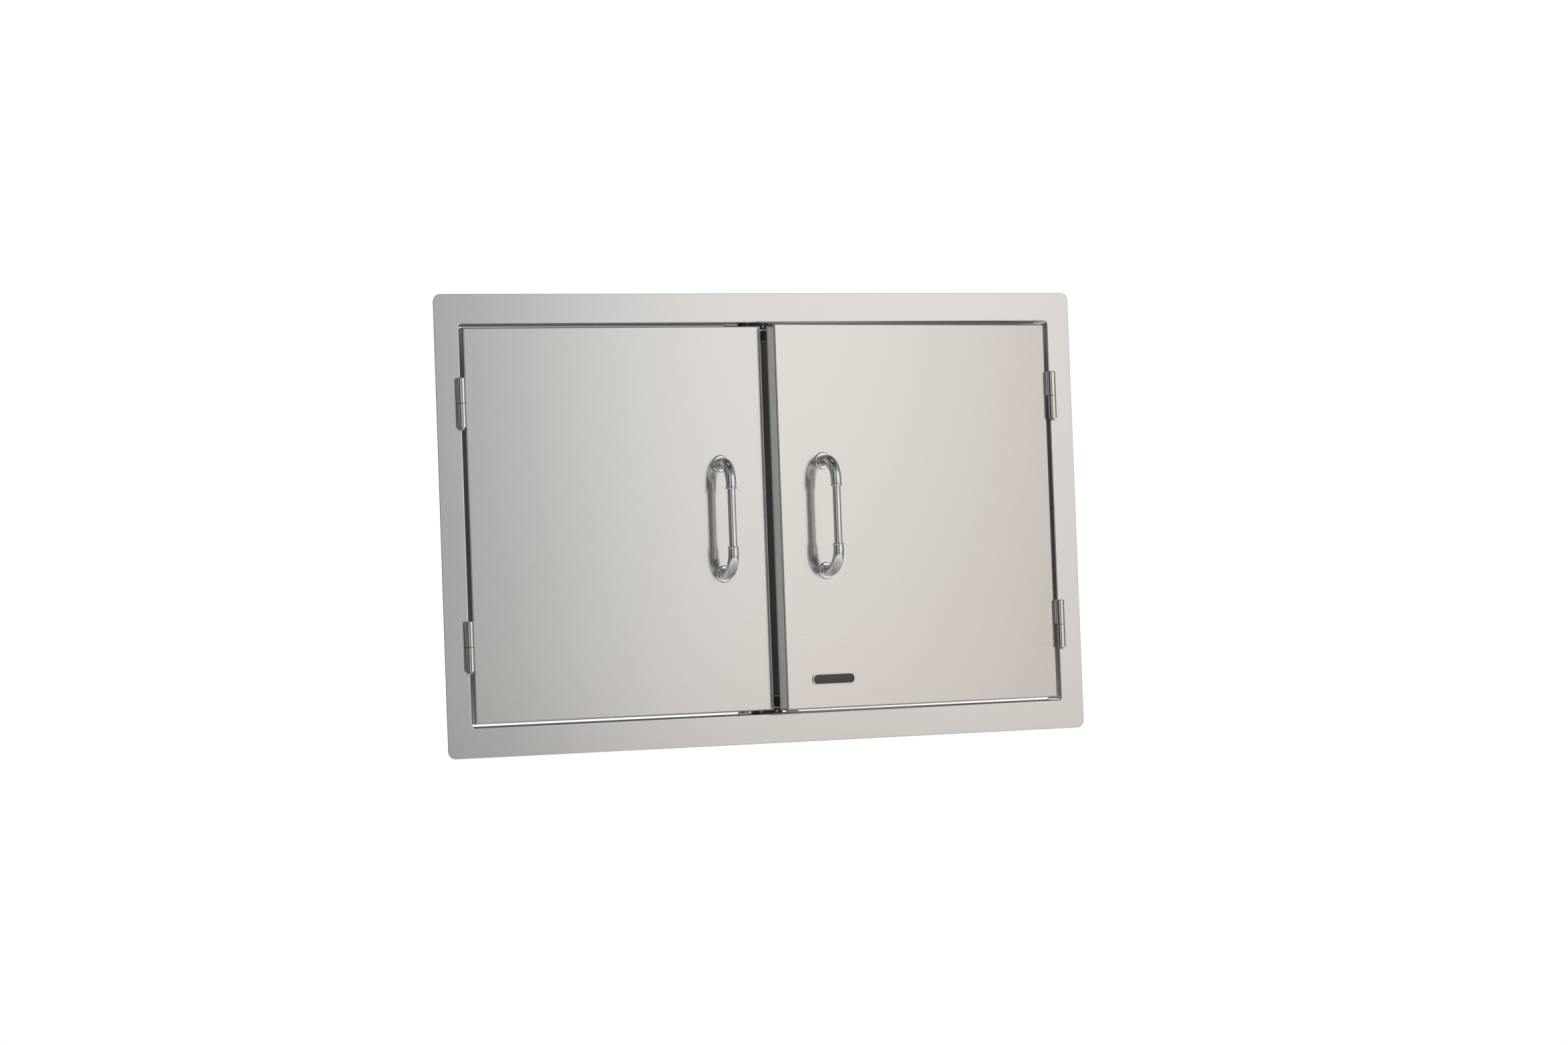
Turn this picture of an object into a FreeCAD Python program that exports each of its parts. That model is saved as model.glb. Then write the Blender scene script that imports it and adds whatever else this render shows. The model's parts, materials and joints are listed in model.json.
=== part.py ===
"""Double access door for an outdoor-kitchen island.

A folded stainless face frame drops into a cut-out in the island's wall, and two
double-walled doors hang in it on lift-off hinges, flush with the frame's flange.
Magnetic catches behind the meeting edges hold the doors shut.

Units are millimetres. X points right and Z up as one faces the doors, and Y points
into the island. The origin is the middle of the cut-out, on the plane of the
island's wall, which the back of the flange lies against.
"""

import FreeCAD, Part
import math
import os

V = FreeCAD.Vector

# Face frame
flange_width = 838.2
flange_height = 558.8
side_flange = 31.1              # flange showing left and right of the opening
rail_flange = 36.65             # flange showing above and below the opening
flange_corner_radius = 9.0
flange_edge_break = 0.5
frame_sheet = 1.5
frame_bend_radius = 2.0         # outside of the fold from flange to return
return_depth = 38.0             # returns reach this far behind the island's face
opening_corner_radius = 3.0

# Screw holes in the side returns, for fixing the frame in the island
island_hole_diameter = 5.0
island_hole_setback = 31.0      # behind the island's face, clear of the closed doors
island_hole_inset = 27.75       # from the opening's top and bottom to each hole

# Doors: a folded skin with returned sides and lips, closed by a pressed liner
door_side_gap = 3.9
door_rail_gap = 3.75
door_centre_gap = 5.8
door_depth = 24.0
door_sheet = 1.2
door_bend_radius = 2.0
door_lip = 12.0
corner_seam = 0.35              # open seam where two folded sides meet
liner_sheet = 1.2
liner_inset = 1.0
liner_margin = 42.0             # flat border round the pressed field
liner_field_depth = 6.0
liner_field_slope = 5.0
liner_field_radius = 14.0
ajar_angle = 4.7                # the right door stands open this much at rest

# Lift-off hinges
hinge_inset = 60.75             # from each end of a door to its nearer hinge
barrel_diameter = 10.4
barrel_clearance = 0.8          # between the barrel and the flange's face
door_knuckle_length = 31.0
frame_knuckle_length = 28.7
hinge_washer_thickness = 0.8
hinge_washer_diameter = 9.6
knuckle_cap_rounding = 1.6
knuckle_cap_thickness = 4.0
hinge_pin_diameter = 5.0
hinge_pin_running_clearance = 0.05
hinge_pin_tail = 3.0
hinge_pin_end_gap = 0.3
leaf_thickness = 2.0
leaf_reach = 18.0               # how far a leaf reaches behind the island's face
leaf_end_gap = 0.5              # keeps a leaf's end clear of the other knuckle
leaf_corner_radius = 3.0
leaf_rivet_pitch = 14.0
leaf_rivet_setback = 9.0

# Rivets
leaf_rivet_diameter = 4.0
leaf_rivet_head = 7.2
leaf_rivet_countersink = 1.4
small_rivet_diameter = 3.2
small_rivet_head = 6.0
small_rivet_head_height = 1.1
rivet_tail_factor = 1.5         # formed tail's diameter over the shank's
rivet_tail_length = 2.2

# Centre stile, a shallow channel behind the meeting edges
stile_width = 40.0
stile_sheet = 1.2
stile_tab_inset = 3.0           # from the stile's edges to its end tabs
stile_rivet_pitch = 20.0
tab_clearance = 0.9             # from a shut door's back to the tabs folded forward

# Magnetic catches, one at each end of each door's meeting edge
magnet_offset = 9.5             # from the frame's middle to the magnet's near end
magnet_width = 28.0
magnet_height = 12.4
magnet_depth = 5.2
magnet_edge_rounding = 0.6
magnet_rail_gap = 7.5           # from the opening's edge to the magnet
magnet_air_gap = 0.3            # magnet to strike plate with the door shut
strike_thickness = 0.8
strike_border = 1.0
bracket_sheet = 1.2
bracket_border = 2.0
bracket_tab_width = 15.0
catch_screw_diameter = 3.0
catch_screw_head = 5.6
catch_screw_countersink = 1.5
catch_screw_tail = 2.5

# Handles
handle_from_edge = 59.1         # handle's line to the door's meeting edge
handle_centres = 136.5
handle_standoff = 38.0          # door face to the middle of the grip bar
grip_diameter = 10.0
grip_socket_depth = 6.0
rosette_diameter = 21.5
rosette_thickness = 3.2
rosette_rounding = 1.8
elbow_foot_diameter = 15.4
elbow_end_diameter = 12.6
elbow_bend_radius = 26.0
elbow_drop = 33.2               # foot's line to the elbow's end
collar_diameter = 14.4
collar_bead = 3.0
handle_screw_diameter = 5.0
handle_screw_head = 9.0
handle_screw_head_height = 3.2
handle_screw_grip = 10.0        # thread held in the elbow's foot
backing_plate_width = 26.0
backing_plate_overhang = 13.75  # past the handle's screws, above and below
backing_plate_thickness = 2.0

# Places that follow from the sizes above
opening_half_width = flange_width / 2 - side_flange
opening_half_height = flange_height / 2 - rail_flange
face_y = -frame_sheet                       # front of the flange and of a shut door
door_outer_x = opening_half_width - door_side_gap
door_inner_x = door_centre_gap / 2
door_half_height = opening_half_height - door_rail_gap
door_back_y = face_y + door_depth
skin_back_y = door_back_y - liner_sheet
barrel_radius = barrel_diameter / 2
hinge_x = door_outer_x + barrel_radius      # a rolled knuckle is tangent to its leaf
hinge_y = face_y - barrel_clearance - barrel_radius
hinge_length = door_knuckle_length + hinge_washer_thickness + frame_knuckle_length + hinge_pin_tail
hinge_spacing = 2 * (door_half_height - hinge_inset) - hinge_length
magnet_face_y = door_back_y + strike_thickness + magnet_air_gap
bracket_face_y = magnet_face_y + magnet_depth
stile_face_y = bracket_face_y + bracket_sheet
tab_front_y = door_back_y + tab_clearance
tab_rivet_y = (tab_front_y + bracket_face_y) / 2
magnet_mid_x = magnet_offset + magnet_width / 2
magnet_mid_z = opening_half_height - magnet_rail_gap - magnet_height / 2
handle_x = door_inner_x + handle_from_edge


def block(x0, x1, y0, y1, z0, z1):
    """A box between two corners, given in any order."""
    low = V(min(x0, x1), min(y0, y1), min(z0, z1))
    return Part.makeBox(abs(x1 - x0), abs(y1 - y0), abs(z1 - z0), low)


def rod(diameter, length, start, direction):
    return Part.makeCylinder(diameter / 2, length, start, direction)


def panel(half_width, half_height, y0, y1, radius):
    """A plate on the XZ plane about the origin, with rounded corners."""
    plate = block(-half_width, half_width, y0, y1, -half_height, half_height)
    return plate.makeFillet(radius, edges_along(plate, V(0, 1, 0)))


def edges_along(shape, direction):
    found = []
    for edge in shape.Edges:
        span = edge.Vertexes[-1].Point - edge.Vertexes[0].Point
        if span.Length > 0 and abs(abs(span.normalize().dot(direction)) - 1) < 1e-6:
            found.append(edge)
    return found


def edges_on_plane(shape, y, half_width, half_height):
    """The edges at depth y that lie inside the given half sizes."""
    found = []
    for edge in shape.Edges:
        box = edge.BoundBox
        flat = abs(box.YMin - y) < 1e-6 and abs(box.YMax - y) < 1e-6
        reach_x = max(abs(box.XMin), abs(box.XMax))
        reach_z = max(abs(box.ZMin), abs(box.ZMax))
        if flat and reach_x < half_width and reach_z < half_height:
            found.append(edge)
    return found


def turned(profile, start, direction):
    """A solid of revolution. Profile points are (radius, distance along direction)."""
    points = [V(radius, 0, along) for radius, along in profile]
    face = Part.Face(Part.makePolygon(points + points[:1]))
    solid = face.revolve(V(0, 0, 0), V(0, 0, 1), 360)
    solid.Placement = FreeCAD.Placement(start, FreeCAD.Rotation(V(0, 0, 1), direction))
    return solid


def mirrored_x(shape):
    return shape.mirror(V(0, 0, 0), V(1, 0, 0))


def mirrored_z(shape):
    return shape.mirror(V(0, 0, 0), V(0, 0, 1))


def folded_tab(x0, x1, low, back_y, sheet):
    """An upright strip whose top is folded forward under the top return."""
    top = opening_half_height
    reach = sheet * math.sqrt(0.5)
    round_start = V(x0, back_y - sheet, top)
    round_middle = V(x0, back_y - sheet + reach, top - sheet + reach)
    round_end = V(x0, back_y, top - sheet)
    front_y = back_y - sheet
    corners = [round_end, V(x0, back_y, low), V(x0, front_y, low), V(x0, front_y, top - sheet),
               V(x0, tab_front_y, top - sheet), V(x0, tab_front_y, top), round_start]
    outline = Part.Wire([Part.Arc(round_start, round_middle, round_end).toShape()]
                        + Part.makePolygon(corners).Edges)
    return Part.Face(outline).extrude(V(x1 - x0, 0, 0))


def flush_rivet(start, direction, grip):
    """Countersunk rivet, flush at start, with its formed tail past the grip."""
    shank = leaf_rivet_diameter / 2
    tail = shank * rivet_tail_factor
    profile = [(0, 0), (leaf_rivet_head / 2, 0), (shank, leaf_rivet_countersink), (shank, grip),
               (tail, grip), (tail, grip + rivet_tail_length), (0, grip + rivet_tail_length)]
    return turned(profile, start, direction)


def countersink(start, direction, depth):
    """The hole that a flush rivet fills."""
    shank = leaf_rivet_diameter / 2
    profile = [(0, 0), (leaf_rivet_head / 2, 0), (shank, leaf_rivet_countersink), (shank, depth),
               (0, depth)]
    return turned(profile, start, direction)


def button_rivet(start, direction, grip):
    """Low-headed rivet, its head proud of start and its tail past the grip."""
    shank = small_rivet_diameter / 2
    head = small_rivet_head / 2
    tail = shank * rivet_tail_factor
    crown = -small_rivet_head_height
    profile = [(0, crown), (head * 0.6, crown), (head, crown * 0.3), (head, 0), (shank, 0), (shank, grip),
               (tail, grip), (tail, grip + rivet_tail_length), (0, grip + rivet_tail_length)]
    return turned(profile, start, direction)


def hinge_tops():
    """Height of the top of each hinge barrel, upper hinge first."""
    return [hinge_spacing / 2 + hinge_length / 2, -hinge_spacing / 2 + hinge_length / 2]


def door_knuckle_floor(top):
    return top - door_knuckle_length


def frame_knuckle_top(top):
    return door_knuckle_floor(top) - hinge_washer_thickness


def leaf_rivet_heights(low, high):
    middle = (low + high) / 2
    return [middle - leaf_rivet_pitch / 2, middle + leaf_rivet_pitch / 2]


def island_hole_heights():
    end = opening_half_height - island_hole_inset
    return [-end, end]


def bracket_tab_span():
    """Left and right edges of a right-hand catch bracket's tab."""
    right = magnet_offset + magnet_width + bracket_border
    return right - bracket_tab_width, right


def bracket_rivet_x():
    return sum(bracket_tab_span()) / 2


def tab_rivet_hole(x, sheet):
    """Hole through the top return and a tab of the given thickness under it."""
    start = V(x, tab_rivet_y, opening_half_height - sheet - 1)
    return rod(small_rivet_diameter, sheet + frame_sheet + 2, start, V(0, 0, 1))


def tab_rivet(x, sheet):
    """Rivet set from outside the top return, its tail under the tab."""
    start = V(x, tab_rivet_y, opening_half_height + frame_sheet)
    return button_rivet(start, V(0, 0, -1), frame_sheet + sheet)


# The frame and what is fixed to it. Handed pieces are made for the right side.

def face_frame():
    flange = panel(flange_width / 2, flange_height / 2, face_y, 0, flange_corner_radius)
    tube = panel(opening_half_width + frame_sheet, opening_half_height + frame_sheet,
                 face_y, return_depth, opening_corner_radius + frame_sheet)
    opening = panel(opening_half_width, opening_half_height,
                    face_y - 1, return_depth + 1, opening_corner_radius)
    frame = flange.fuse(tube).cut(opening).removeSplitter()
    folds = edges_on_plane(frame, face_y, opening_half_width + 0.1, opening_half_height + 0.1)
    frame = frame.makeFillet(frame_bend_radius, folds)
    rim = [e for e in edges_on_plane(frame, face_y, flange_width, flange_height)
           if e.BoundBox.XMin < -flange_width / 2 + 0.1 + flange_corner_radius
           or e.BoundBox.XMax > flange_width / 2 - 0.1 - flange_corner_radius]
    frame = frame.makeFillet(flange_edge_break, rim)
    return frame.cut(Part.makeCompound(frame_holes()))


def frame_holes():
    """Holes through the returns: island screws, hinge rivets, stile and catch rivets."""
    holes = []
    wall = frame_sheet + 2
    tab_holes = stile_rivet_holes()
    for side in (-1, 1):
        tab_holes.append(tab_rivet_hole(side * bracket_rivet_x(), bracket_sheet))
        start_x = side * (opening_half_width - 1)
        outward = V(side, 0, 0)
        for z in island_hole_heights():
            holes.append(rod(island_hole_diameter, wall, V(start_x, island_hole_setback, z), outward))
        for top in hinge_tops():
            knuckle_top = frame_knuckle_top(top)
            for z in leaf_rivet_heights(knuckle_top - frame_knuckle_length, knuckle_top):
                holes.append(rod(leaf_rivet_diameter, wall, V(start_x, leaf_rivet_setback, z), outward))
    return holes + tab_holes + [mirrored_z(hole) for hole in tab_holes]


def stile_rivet_holes():
    return [tab_rivet_hole(side * stile_rivet_pitch / 2, stile_sheet) for side in (-1, 1)]


def centre_stile():
    """Channel open to the back, with a tab at each end folded forward under the return."""
    half = stile_width / 2
    stile = block(-half, half, stile_face_y, return_depth, -opening_half_height, opening_half_height)
    stile = stile.makeFillet(stile_sheet, [e for e in edges_along(stile, V(0, 0, 1))
                                           if abs(e.BoundBox.YMin - stile_face_y) < 1e-6])
    trough = block(-half + stile_sheet, half - stile_sheet, stile_face_y + stile_sheet, return_depth + 1,
                   -opening_half_height - 1, opening_half_height + 1)
    stile = stile.cut(trough)
    web_back_y = stile_face_y + stile_sheet
    tab_half = half - stile_tab_inset
    fold_low = opening_half_height - 2 * stile_sheet
    notch = block(-tab_half, tab_half, stile_face_y - 1, web_back_y + 1, fold_low, opening_half_height + 1)
    tab = folded_tab(-tab_half, tab_half, fold_low, web_back_y, stile_sheet)
    tab = tab.cut(Part.makeCompound(stile_rivet_holes()))
    stile = stile.cut(notch).cut(mirrored_z(notch))
    return stile.fuse([tab, mirrored_z(tab)]).removeSplitter()


def stile_rivets():
    rivets = [tab_rivet(side * stile_rivet_pitch / 2, stile_sheet) for side in (-1, 1)]
    return Part.makeCompound(rivets + [mirrored_z(rivet) for rivet in rivets])


def leaf_plate(x0, x1, low, high):
    """A hinge leaf's flat part, its two far corners rounded."""
    plate = block(x0, x1, hinge_y, leaf_reach, low, high)
    corners = [e for e in edges_along(plate, V(1, 0, 0)) if abs(e.BoundBox.YMin - leaf_reach) < 1e-6]
    return plate.makeFillet(leaf_corner_radius, corners)


def frame_leaf(top):
    """Lower half of a hinge: the knuckle that holds the pin, and its leaf on the return."""
    high = frame_knuckle_top(top)
    low = high - frame_knuckle_length
    plate = leaf_plate(opening_half_width - leaf_thickness, opening_half_width,
                       low + leaf_end_gap, high - leaf_end_gap)
    knuckle = rod(barrel_diameter, frame_knuckle_length, V(hinge_x, hinge_y, low), V(0, 0, 1))
    leaf = knuckle.fuse(plate)
    leaf = leaf.cut(rod(hinge_pin_diameter, frame_knuckle_length, V(hinge_x, hinge_y, low), V(0, 0, 1)))
    for z in leaf_rivet_heights(low, high):
        start = V(opening_half_width - leaf_thickness, leaf_rivet_setback, z)
        leaf = leaf.cut(countersink(start, V(1, 0, 0), leaf_thickness + 1))
    return leaf.removeSplitter()


def frame_leaf_rivets():
    rivets = []
    for top in hinge_tops():
        high = frame_knuckle_top(top)
        for z in leaf_rivet_heights(high - frame_knuckle_length, high):
            start = V(opening_half_width - leaf_thickness, leaf_rivet_setback, z)
            rivets.append(flush_rivet(start, V(1, 0, 0), leaf_thickness + frame_sheet))
    return Part.makeCompound(rivets + [mirrored_x(r) for r in rivets])


def hinge_pin(top):
    """Pin pressed into the frame's knuckle, its tail below and its spigot up in the door's."""
    low = frame_knuckle_top(top) - frame_knuckle_length - hinge_pin_tail
    high = top - knuckle_cap_thickness - hinge_pin_end_gap
    radius = hinge_pin_diameter / 2
    nose = radius * 0.4
    length = high - low
    profile = [(0, 0), (radius - nose, 0), (radius, nose), (radius, length - nose),
               (radius - nose, length), (0, length)]
    return turned(profile, V(hinge_x, hinge_y, low), V(0, 0, 1))


def hinge_washer(top):
    low = frame_knuckle_top(top)
    start = V(hinge_x, hinge_y, low)
    ring = rod(hinge_washer_diameter, hinge_washer_thickness, start, V(0, 0, 1))
    bore = hinge_pin_diameter + 2 * hinge_pin_running_clearance
    return ring.cut(rod(bore, hinge_washer_thickness, start, V(0, 0, 1)))


def catch_bracket():
    """Top right catch bracket: a plate behind the magnet that rises to a tab under the return."""
    left = magnet_offset - bracket_border
    right = magnet_offset + magnet_width + bracket_border
    low = magnet_mid_z - magnet_height / 2 - bracket_border
    high = magnet_mid_z + magnet_height / 2 + bracket_border
    plate = block(left, right, bracket_face_y, bracket_face_y + bracket_sheet, low, high)
    tab = folded_tab(*bracket_tab_span(), low, bracket_face_y + bracket_sheet, bracket_sheet)
    bracket = plate.fuse(tab).removeSplitter()
    screw_start = V(magnet_mid_x, bracket_face_y - 1, magnet_mid_z)
    bracket = bracket.cut(rod(catch_screw_diameter, bracket_sheet + 2, screw_start, V(0, 1, 0)))
    return bracket.cut(tab_rivet_hole(bracket_rivet_x(), bracket_sheet))


def catch_screw_profile(length):
    shank = catch_screw_diameter / 2
    return [(0, 0), (catch_screw_head / 2, 0), (shank, catch_screw_countersink), (shank, length),
            (0, length)]


def catch_magnet():
    half = magnet_width / 2
    magnet = block(magnet_mid_x - half, magnet_mid_x + half, magnet_face_y, bracket_face_y,
                   magnet_mid_z - magnet_height / 2, magnet_mid_z + magnet_height / 2)
    face_edges = [e for e in magnet.Edges if abs(e.BoundBox.YMax - magnet_face_y) < 1e-6]
    magnet = magnet.makeFillet(magnet_edge_rounding, face_edges)
    hole_start = V(magnet_mid_x, magnet_face_y, magnet_mid_z)
    return magnet.cut(turned(catch_screw_profile(magnet_depth + 1), hole_start, V(0, 1, 0)))


def catch_screw():
    length = magnet_depth + bracket_sheet + catch_screw_tail
    return turned(catch_screw_profile(length), V(magnet_mid_x, magnet_face_y, magnet_mid_z), V(0, 1, 0))


def catch_rivet():
    return tab_rivet(bracket_rivet_x(), bracket_sheet)


# The right door, shut. The left one is its mirror image.

def door_middle_x():
    return (door_inner_x + door_outer_x) / 2


def door_half_width():
    return (door_outer_x - door_inner_x) / 2


def door_panel(inset, y0, y1):
    """A square-cornered slab as large as the door less an inset all round."""
    return block(door_inner_x + inset, door_outer_x - inset, y0, y1,
                 -door_half_height + inset, door_half_height - inset)


def door_skin():
    skin = door_panel(0, face_y, skin_back_y)
    front_edges = [e for e in skin.Edges if abs(e.BoundBox.YMax - face_y) < 1e-6]
    skin = skin.makeFillet(door_bend_radius, front_edges)
    skin = skin.cut(door_panel(door_sheet, face_y + door_sheet, skin_back_y - door_sheet))
    skin = skin.cut(door_panel(door_lip, skin_back_y - door_sheet - 1, skin_back_y + 1))
    skin = skin.cut(Part.makeCompound(corner_seams() + skin_holes()))
    return skin


def corner_seams():
    """Slits that part the upright sides from the top and bottom ones, and the lips at their mitres."""
    seams = []
    start_y = face_y + door_bend_radius + door_sheet
    for end in (-1, 1):
        z = end * (door_half_height - door_sheet)
        for x, inward in ((door_inner_x, 1), (door_outer_x, -1)):
            seams.append(block(x - inward, x + inward * door_sheet, start_y, skin_back_y + 1,
                               z, z - end * corner_seam))
            mitre = block(0, door_lip * 1.5, skin_back_y - door_sheet, skin_back_y + 1,
                          -corner_seam / 2, corner_seam / 2)
            slope = math.degrees(math.atan2(end, -inward))
            mitre.rotate(V(0, 0, 0), V(0, 1, 0), slope)
            mitre.translate(V(x + inward * door_sheet, 0, z))
            seams.append(mitre)
    return seams


def skin_holes():
    holes = []
    for end in (-1, 1):
        start = V(handle_x, face_y - 1, end * handle_centres / 2)
        holes.append(rod(handle_screw_diameter, door_sheet + 2, start, V(0, 1, 0)))
    for top in hinge_tops():
        for z in leaf_rivet_heights(door_knuckle_floor(top), top):
            start = V(door_outer_x + 1, leaf_rivet_setback, z)
            holes.append(rod(leaf_rivet_diameter, door_sheet + 2, start, V(-1, 0, 0)))
    for x, z in liner_rivet_places():
        start = V(x, skin_back_y + 1, z)
        holes.append(rod(small_rivet_diameter, door_sheet + 2, start, V(0, -1, 0)))
    return holes


def liner_rivet_places():
    """On the middle of the lips: three up each side, and one along the top and the bottom."""
    inset = (door_lip + liner_inset) / 2
    places = []
    for x in (door_inner_x + inset, door_outer_x - inset):
        for step in (-1, 0, 1):
            places.append((x, step * (door_half_height - liner_margin)))
    for end in (-1, 1):
        places.append((door_middle_x(), end * (door_half_height - inset)))
    return places


def field(half_width, half_height, y0, y1, taper, radius):
    """A pressed field about the door's middle, that narrows from y1 to y0."""
    wires = []
    for y, shrink in ((y1, 0), (y0, taper)):
        plate = panel(half_width - shrink, half_height - shrink, y, y + 1, radius - shrink / 2)
        rim = [f for f in plate.Faces if abs(f.BoundBox.YMax - y) < 1e-6][0]
        wires.append(rim.OuterWire)
    solid = Part.makeLoft(wires, True, True)
    solid.translate(V(door_middle_x(), 0, 0))
    return solid


def door_liner():
    """Inner wall: a flat border on the skin's lips round a field pressed into the door."""
    half_width = door_half_width() - liner_margin
    half_height = door_half_height - liner_margin
    border = door_panel(liner_inset, skin_back_y, door_back_y)
    field_y = skin_back_y - liner_field_depth
    outside = field(half_width, half_height, field_y, skin_back_y, liner_field_slope, liner_field_radius)
    inside = field(half_width - liner_sheet, half_height - liner_sheet, field_y + liner_sheet, door_back_y,
                   liner_field_slope, liner_field_radius)
    liner = border.fuse(outside).cut(inside)
    for x, z in liner_rivet_places():
        liner = liner.cut(rod(small_rivet_diameter, liner_sheet + 2, V(x, door_back_y + 1, z), V(0, -1, 0)))
    return liner


def liner_rivets():
    grip = liner_sheet + door_sheet
    rivets = [button_rivet(V(x, door_back_y, z), V(0, -1, 0), grip) for x, z in liner_rivet_places()]
    return Part.makeCompound(rivets)


def strike_plate():
    half_width = magnet_width / 2 + strike_border
    half_height = magnet_height / 2 + strike_border
    return block(magnet_mid_x - half_width, magnet_mid_x + half_width,
                 door_back_y, door_back_y + strike_thickness,
                 magnet_mid_z - half_height, magnet_mid_z + half_height)


def door_leaf(top):
    """Upper half of a hinge: the capped knuckle that turns on the pin, and its leaf on the door's side."""
    low = door_knuckle_floor(top)
    plate = leaf_plate(door_outer_x, door_outer_x + leaf_thickness, low + leaf_end_gap, top - leaf_end_gap)
    knuckle = rod(barrel_diameter, door_knuckle_length, V(hinge_x, hinge_y, low), V(0, 0, 1))
    rim = [e for e in knuckle.Edges if abs(e.BoundBox.ZMin - top) < 1e-6]
    knuckle = knuckle.makeFillet(knuckle_cap_rounding, rim)
    leaf = knuckle.fuse(plate)
    bore = hinge_pin_diameter + 2 * hinge_pin_running_clearance
    bore_depth = door_knuckle_length - knuckle_cap_thickness
    leaf = leaf.cut(rod(bore, bore_depth, V(hinge_x, hinge_y, low), V(0, 0, 1)))
    for z in leaf_rivet_heights(low, top):
        start = V(door_outer_x + leaf_thickness, leaf_rivet_setback, z)
        leaf = leaf.cut(countersink(start, V(-1, 0, 0), leaf_thickness + 1))
    return leaf.removeSplitter()


def door_leaf_rivets():
    rivets = []
    for top in hinge_tops():
        for z in leaf_rivet_heights(door_knuckle_floor(top), top):
            start = V(door_outer_x + leaf_thickness, leaf_rivet_setback, z)
            rivets.append(flush_rivet(start, V(-1, 0, 0), leaf_thickness + door_sheet))
    return Part.makeCompound(rivets)


def rosette():
    """Upper rosette: a rounded disc between the door's face and the elbow's foot."""
    start = V(handle_x, face_y, handle_centres / 2)
    disc = rod(rosette_diameter, rosette_thickness, start, V(0, -1, 0))
    front = [e for e in disc.Edges if abs(e.BoundBox.YMax - (face_y - rosette_thickness)) < 1e-6]
    disc = disc.makeFillet(rosette_rounding, front)
    return disc.cut(rod(handle_screw_diameter, rosette_thickness, start, V(0, -1, 0)))


def elbow_collar():
    """A disc with a full-round rim, standing on the origin."""
    flat = (collar_diameter - collar_bead) / 2
    rim = Part.Arc(V(flat, 0, 0), V(collar_diameter / 2, 0, collar_bead / 2), V(flat, 0, collar_bead))
    rest = Part.makePolygon([V(flat, 0, collar_bead), V(0, 0, collar_bead), V(0, 0, 0), V(flat, 0, 0)])
    outline = Part.Wire([rim.toShape()] + rest.Edges)
    return Part.Face(outline).revolve(V(0, 0, 0), V(0, 0, 1), 360)


def elbow():
    """Upper elbow: one tapering bend from the rosette to a beaded collar round the grip bar."""
    foot = V(handle_x, face_y - rosette_thickness, handle_centres / 2)
    bar_y = face_y - handle_standoff
    bend_y = bar_y + elbow_bend_radius
    bend_z = foot.z - elbow_bend_radius
    end = V(handle_x, bar_y, foot.z - elbow_drop)
    bend_start = V(handle_x, bend_y, foot.z)
    bend_end = V(handle_x, bar_y, bend_z)
    reach = elbow_bend_radius * math.sqrt(0.5)
    bend_middle = V(handle_x, bend_y - reach, bend_z + reach)
    path = Part.Wire([Part.makeLine(foot, bend_start),
                      Part.Arc(bend_start, bend_middle, bend_end).toShape(),
                      Part.makeLine(bend_end, end)])
    sweep = Part.BRepOffsetAPI.MakePipeShell(path)
    sweep.add(Part.Wire(Part.makeCircle(elbow_foot_diameter / 2, foot, V(0, -1, 0))))
    sweep.add(Part.Wire(Part.makeCircle(elbow_end_diameter / 2, end, V(0, 0, -1))))
    sweep.build()
    sweep.makeSolid()
    collar = elbow_collar()
    collar.translate(end)
    body = sweep.shape().fuse(collar)
    body = body.cut(rod(grip_diameter, grip_socket_depth, end, V(0, 0, 1)))
    return body.cut(rod(handle_screw_diameter, handle_screw_grip, foot, V(0, -1, 0)))


def grip_bar():
    half = handle_centres / 2 - elbow_drop + grip_socket_depth
    return rod(grip_diameter, 2 * half, V(handle_x, face_y - handle_standoff, -half), V(0, 0, 1))


def backing_plate():
    """Doubler behind the skin that spreads the handle's pull."""
    inside_y = face_y + door_sheet
    half_width = backing_plate_width / 2
    half_length = handle_centres / 2 + backing_plate_overhang
    plate = block(handle_x - half_width, handle_x + half_width,
                  inside_y, inside_y + backing_plate_thickness, -half_length, half_length)
    for end in (-1, 1):
        start = V(handle_x, inside_y - 1, end * handle_centres / 2)
        plate = plate.cut(rod(handle_screw_diameter, backing_plate_thickness + 2, start, V(0, 1, 0)))
    return plate


def handle_screws():
    """Pan-headed screws from inside the door into the elbows' feet."""
    seat_y = face_y + door_sheet + backing_plate_thickness
    length = backing_plate_thickness + door_sheet + rosette_thickness + handle_screw_grip
    head = handle_screw_head / 2
    shank = handle_screw_diameter / 2
    crown = -handle_screw_head_height
    profile = [(0, crown), (head * 0.7, crown), (head, crown * 0.5), (head, 0), (shank, 0), (shank, length),
               (0, length)]
    seats = [V(handle_x, seat_y, end * handle_centres / 2) for end in (-1, 1)]
    return Part.makeCompound([turned(profile, seat, V(0, -1, 0)) for seat in seats])


def right_door():
    """Every piece of the right door, shut, under its name without the side."""
    upper, lower = hinge_tops()
    return {
        "door_skin": door_skin(),
        "door_liner": door_liner(),
        "liner_rivets": liner_rivets(),
        "upper_door_leaf": door_leaf(upper),
        "lower_door_leaf": door_leaf(lower),
        "door_leaf_rivets": door_leaf_rivets(),
        "top_strike_plate": strike_plate(),
        "bottom_strike_plate": mirrored_z(strike_plate()),
        "upper_rosette": rosette(),
        "lower_rosette": mirrored_z(rosette()),
        "upper_elbow": elbow(),
        "lower_elbow": mirrored_z(elbow()),
        "grip_bar": grip_bar(),
        "backing_plate": backing_plate(),
        "handle_screws": handle_screws(),
    }


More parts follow.
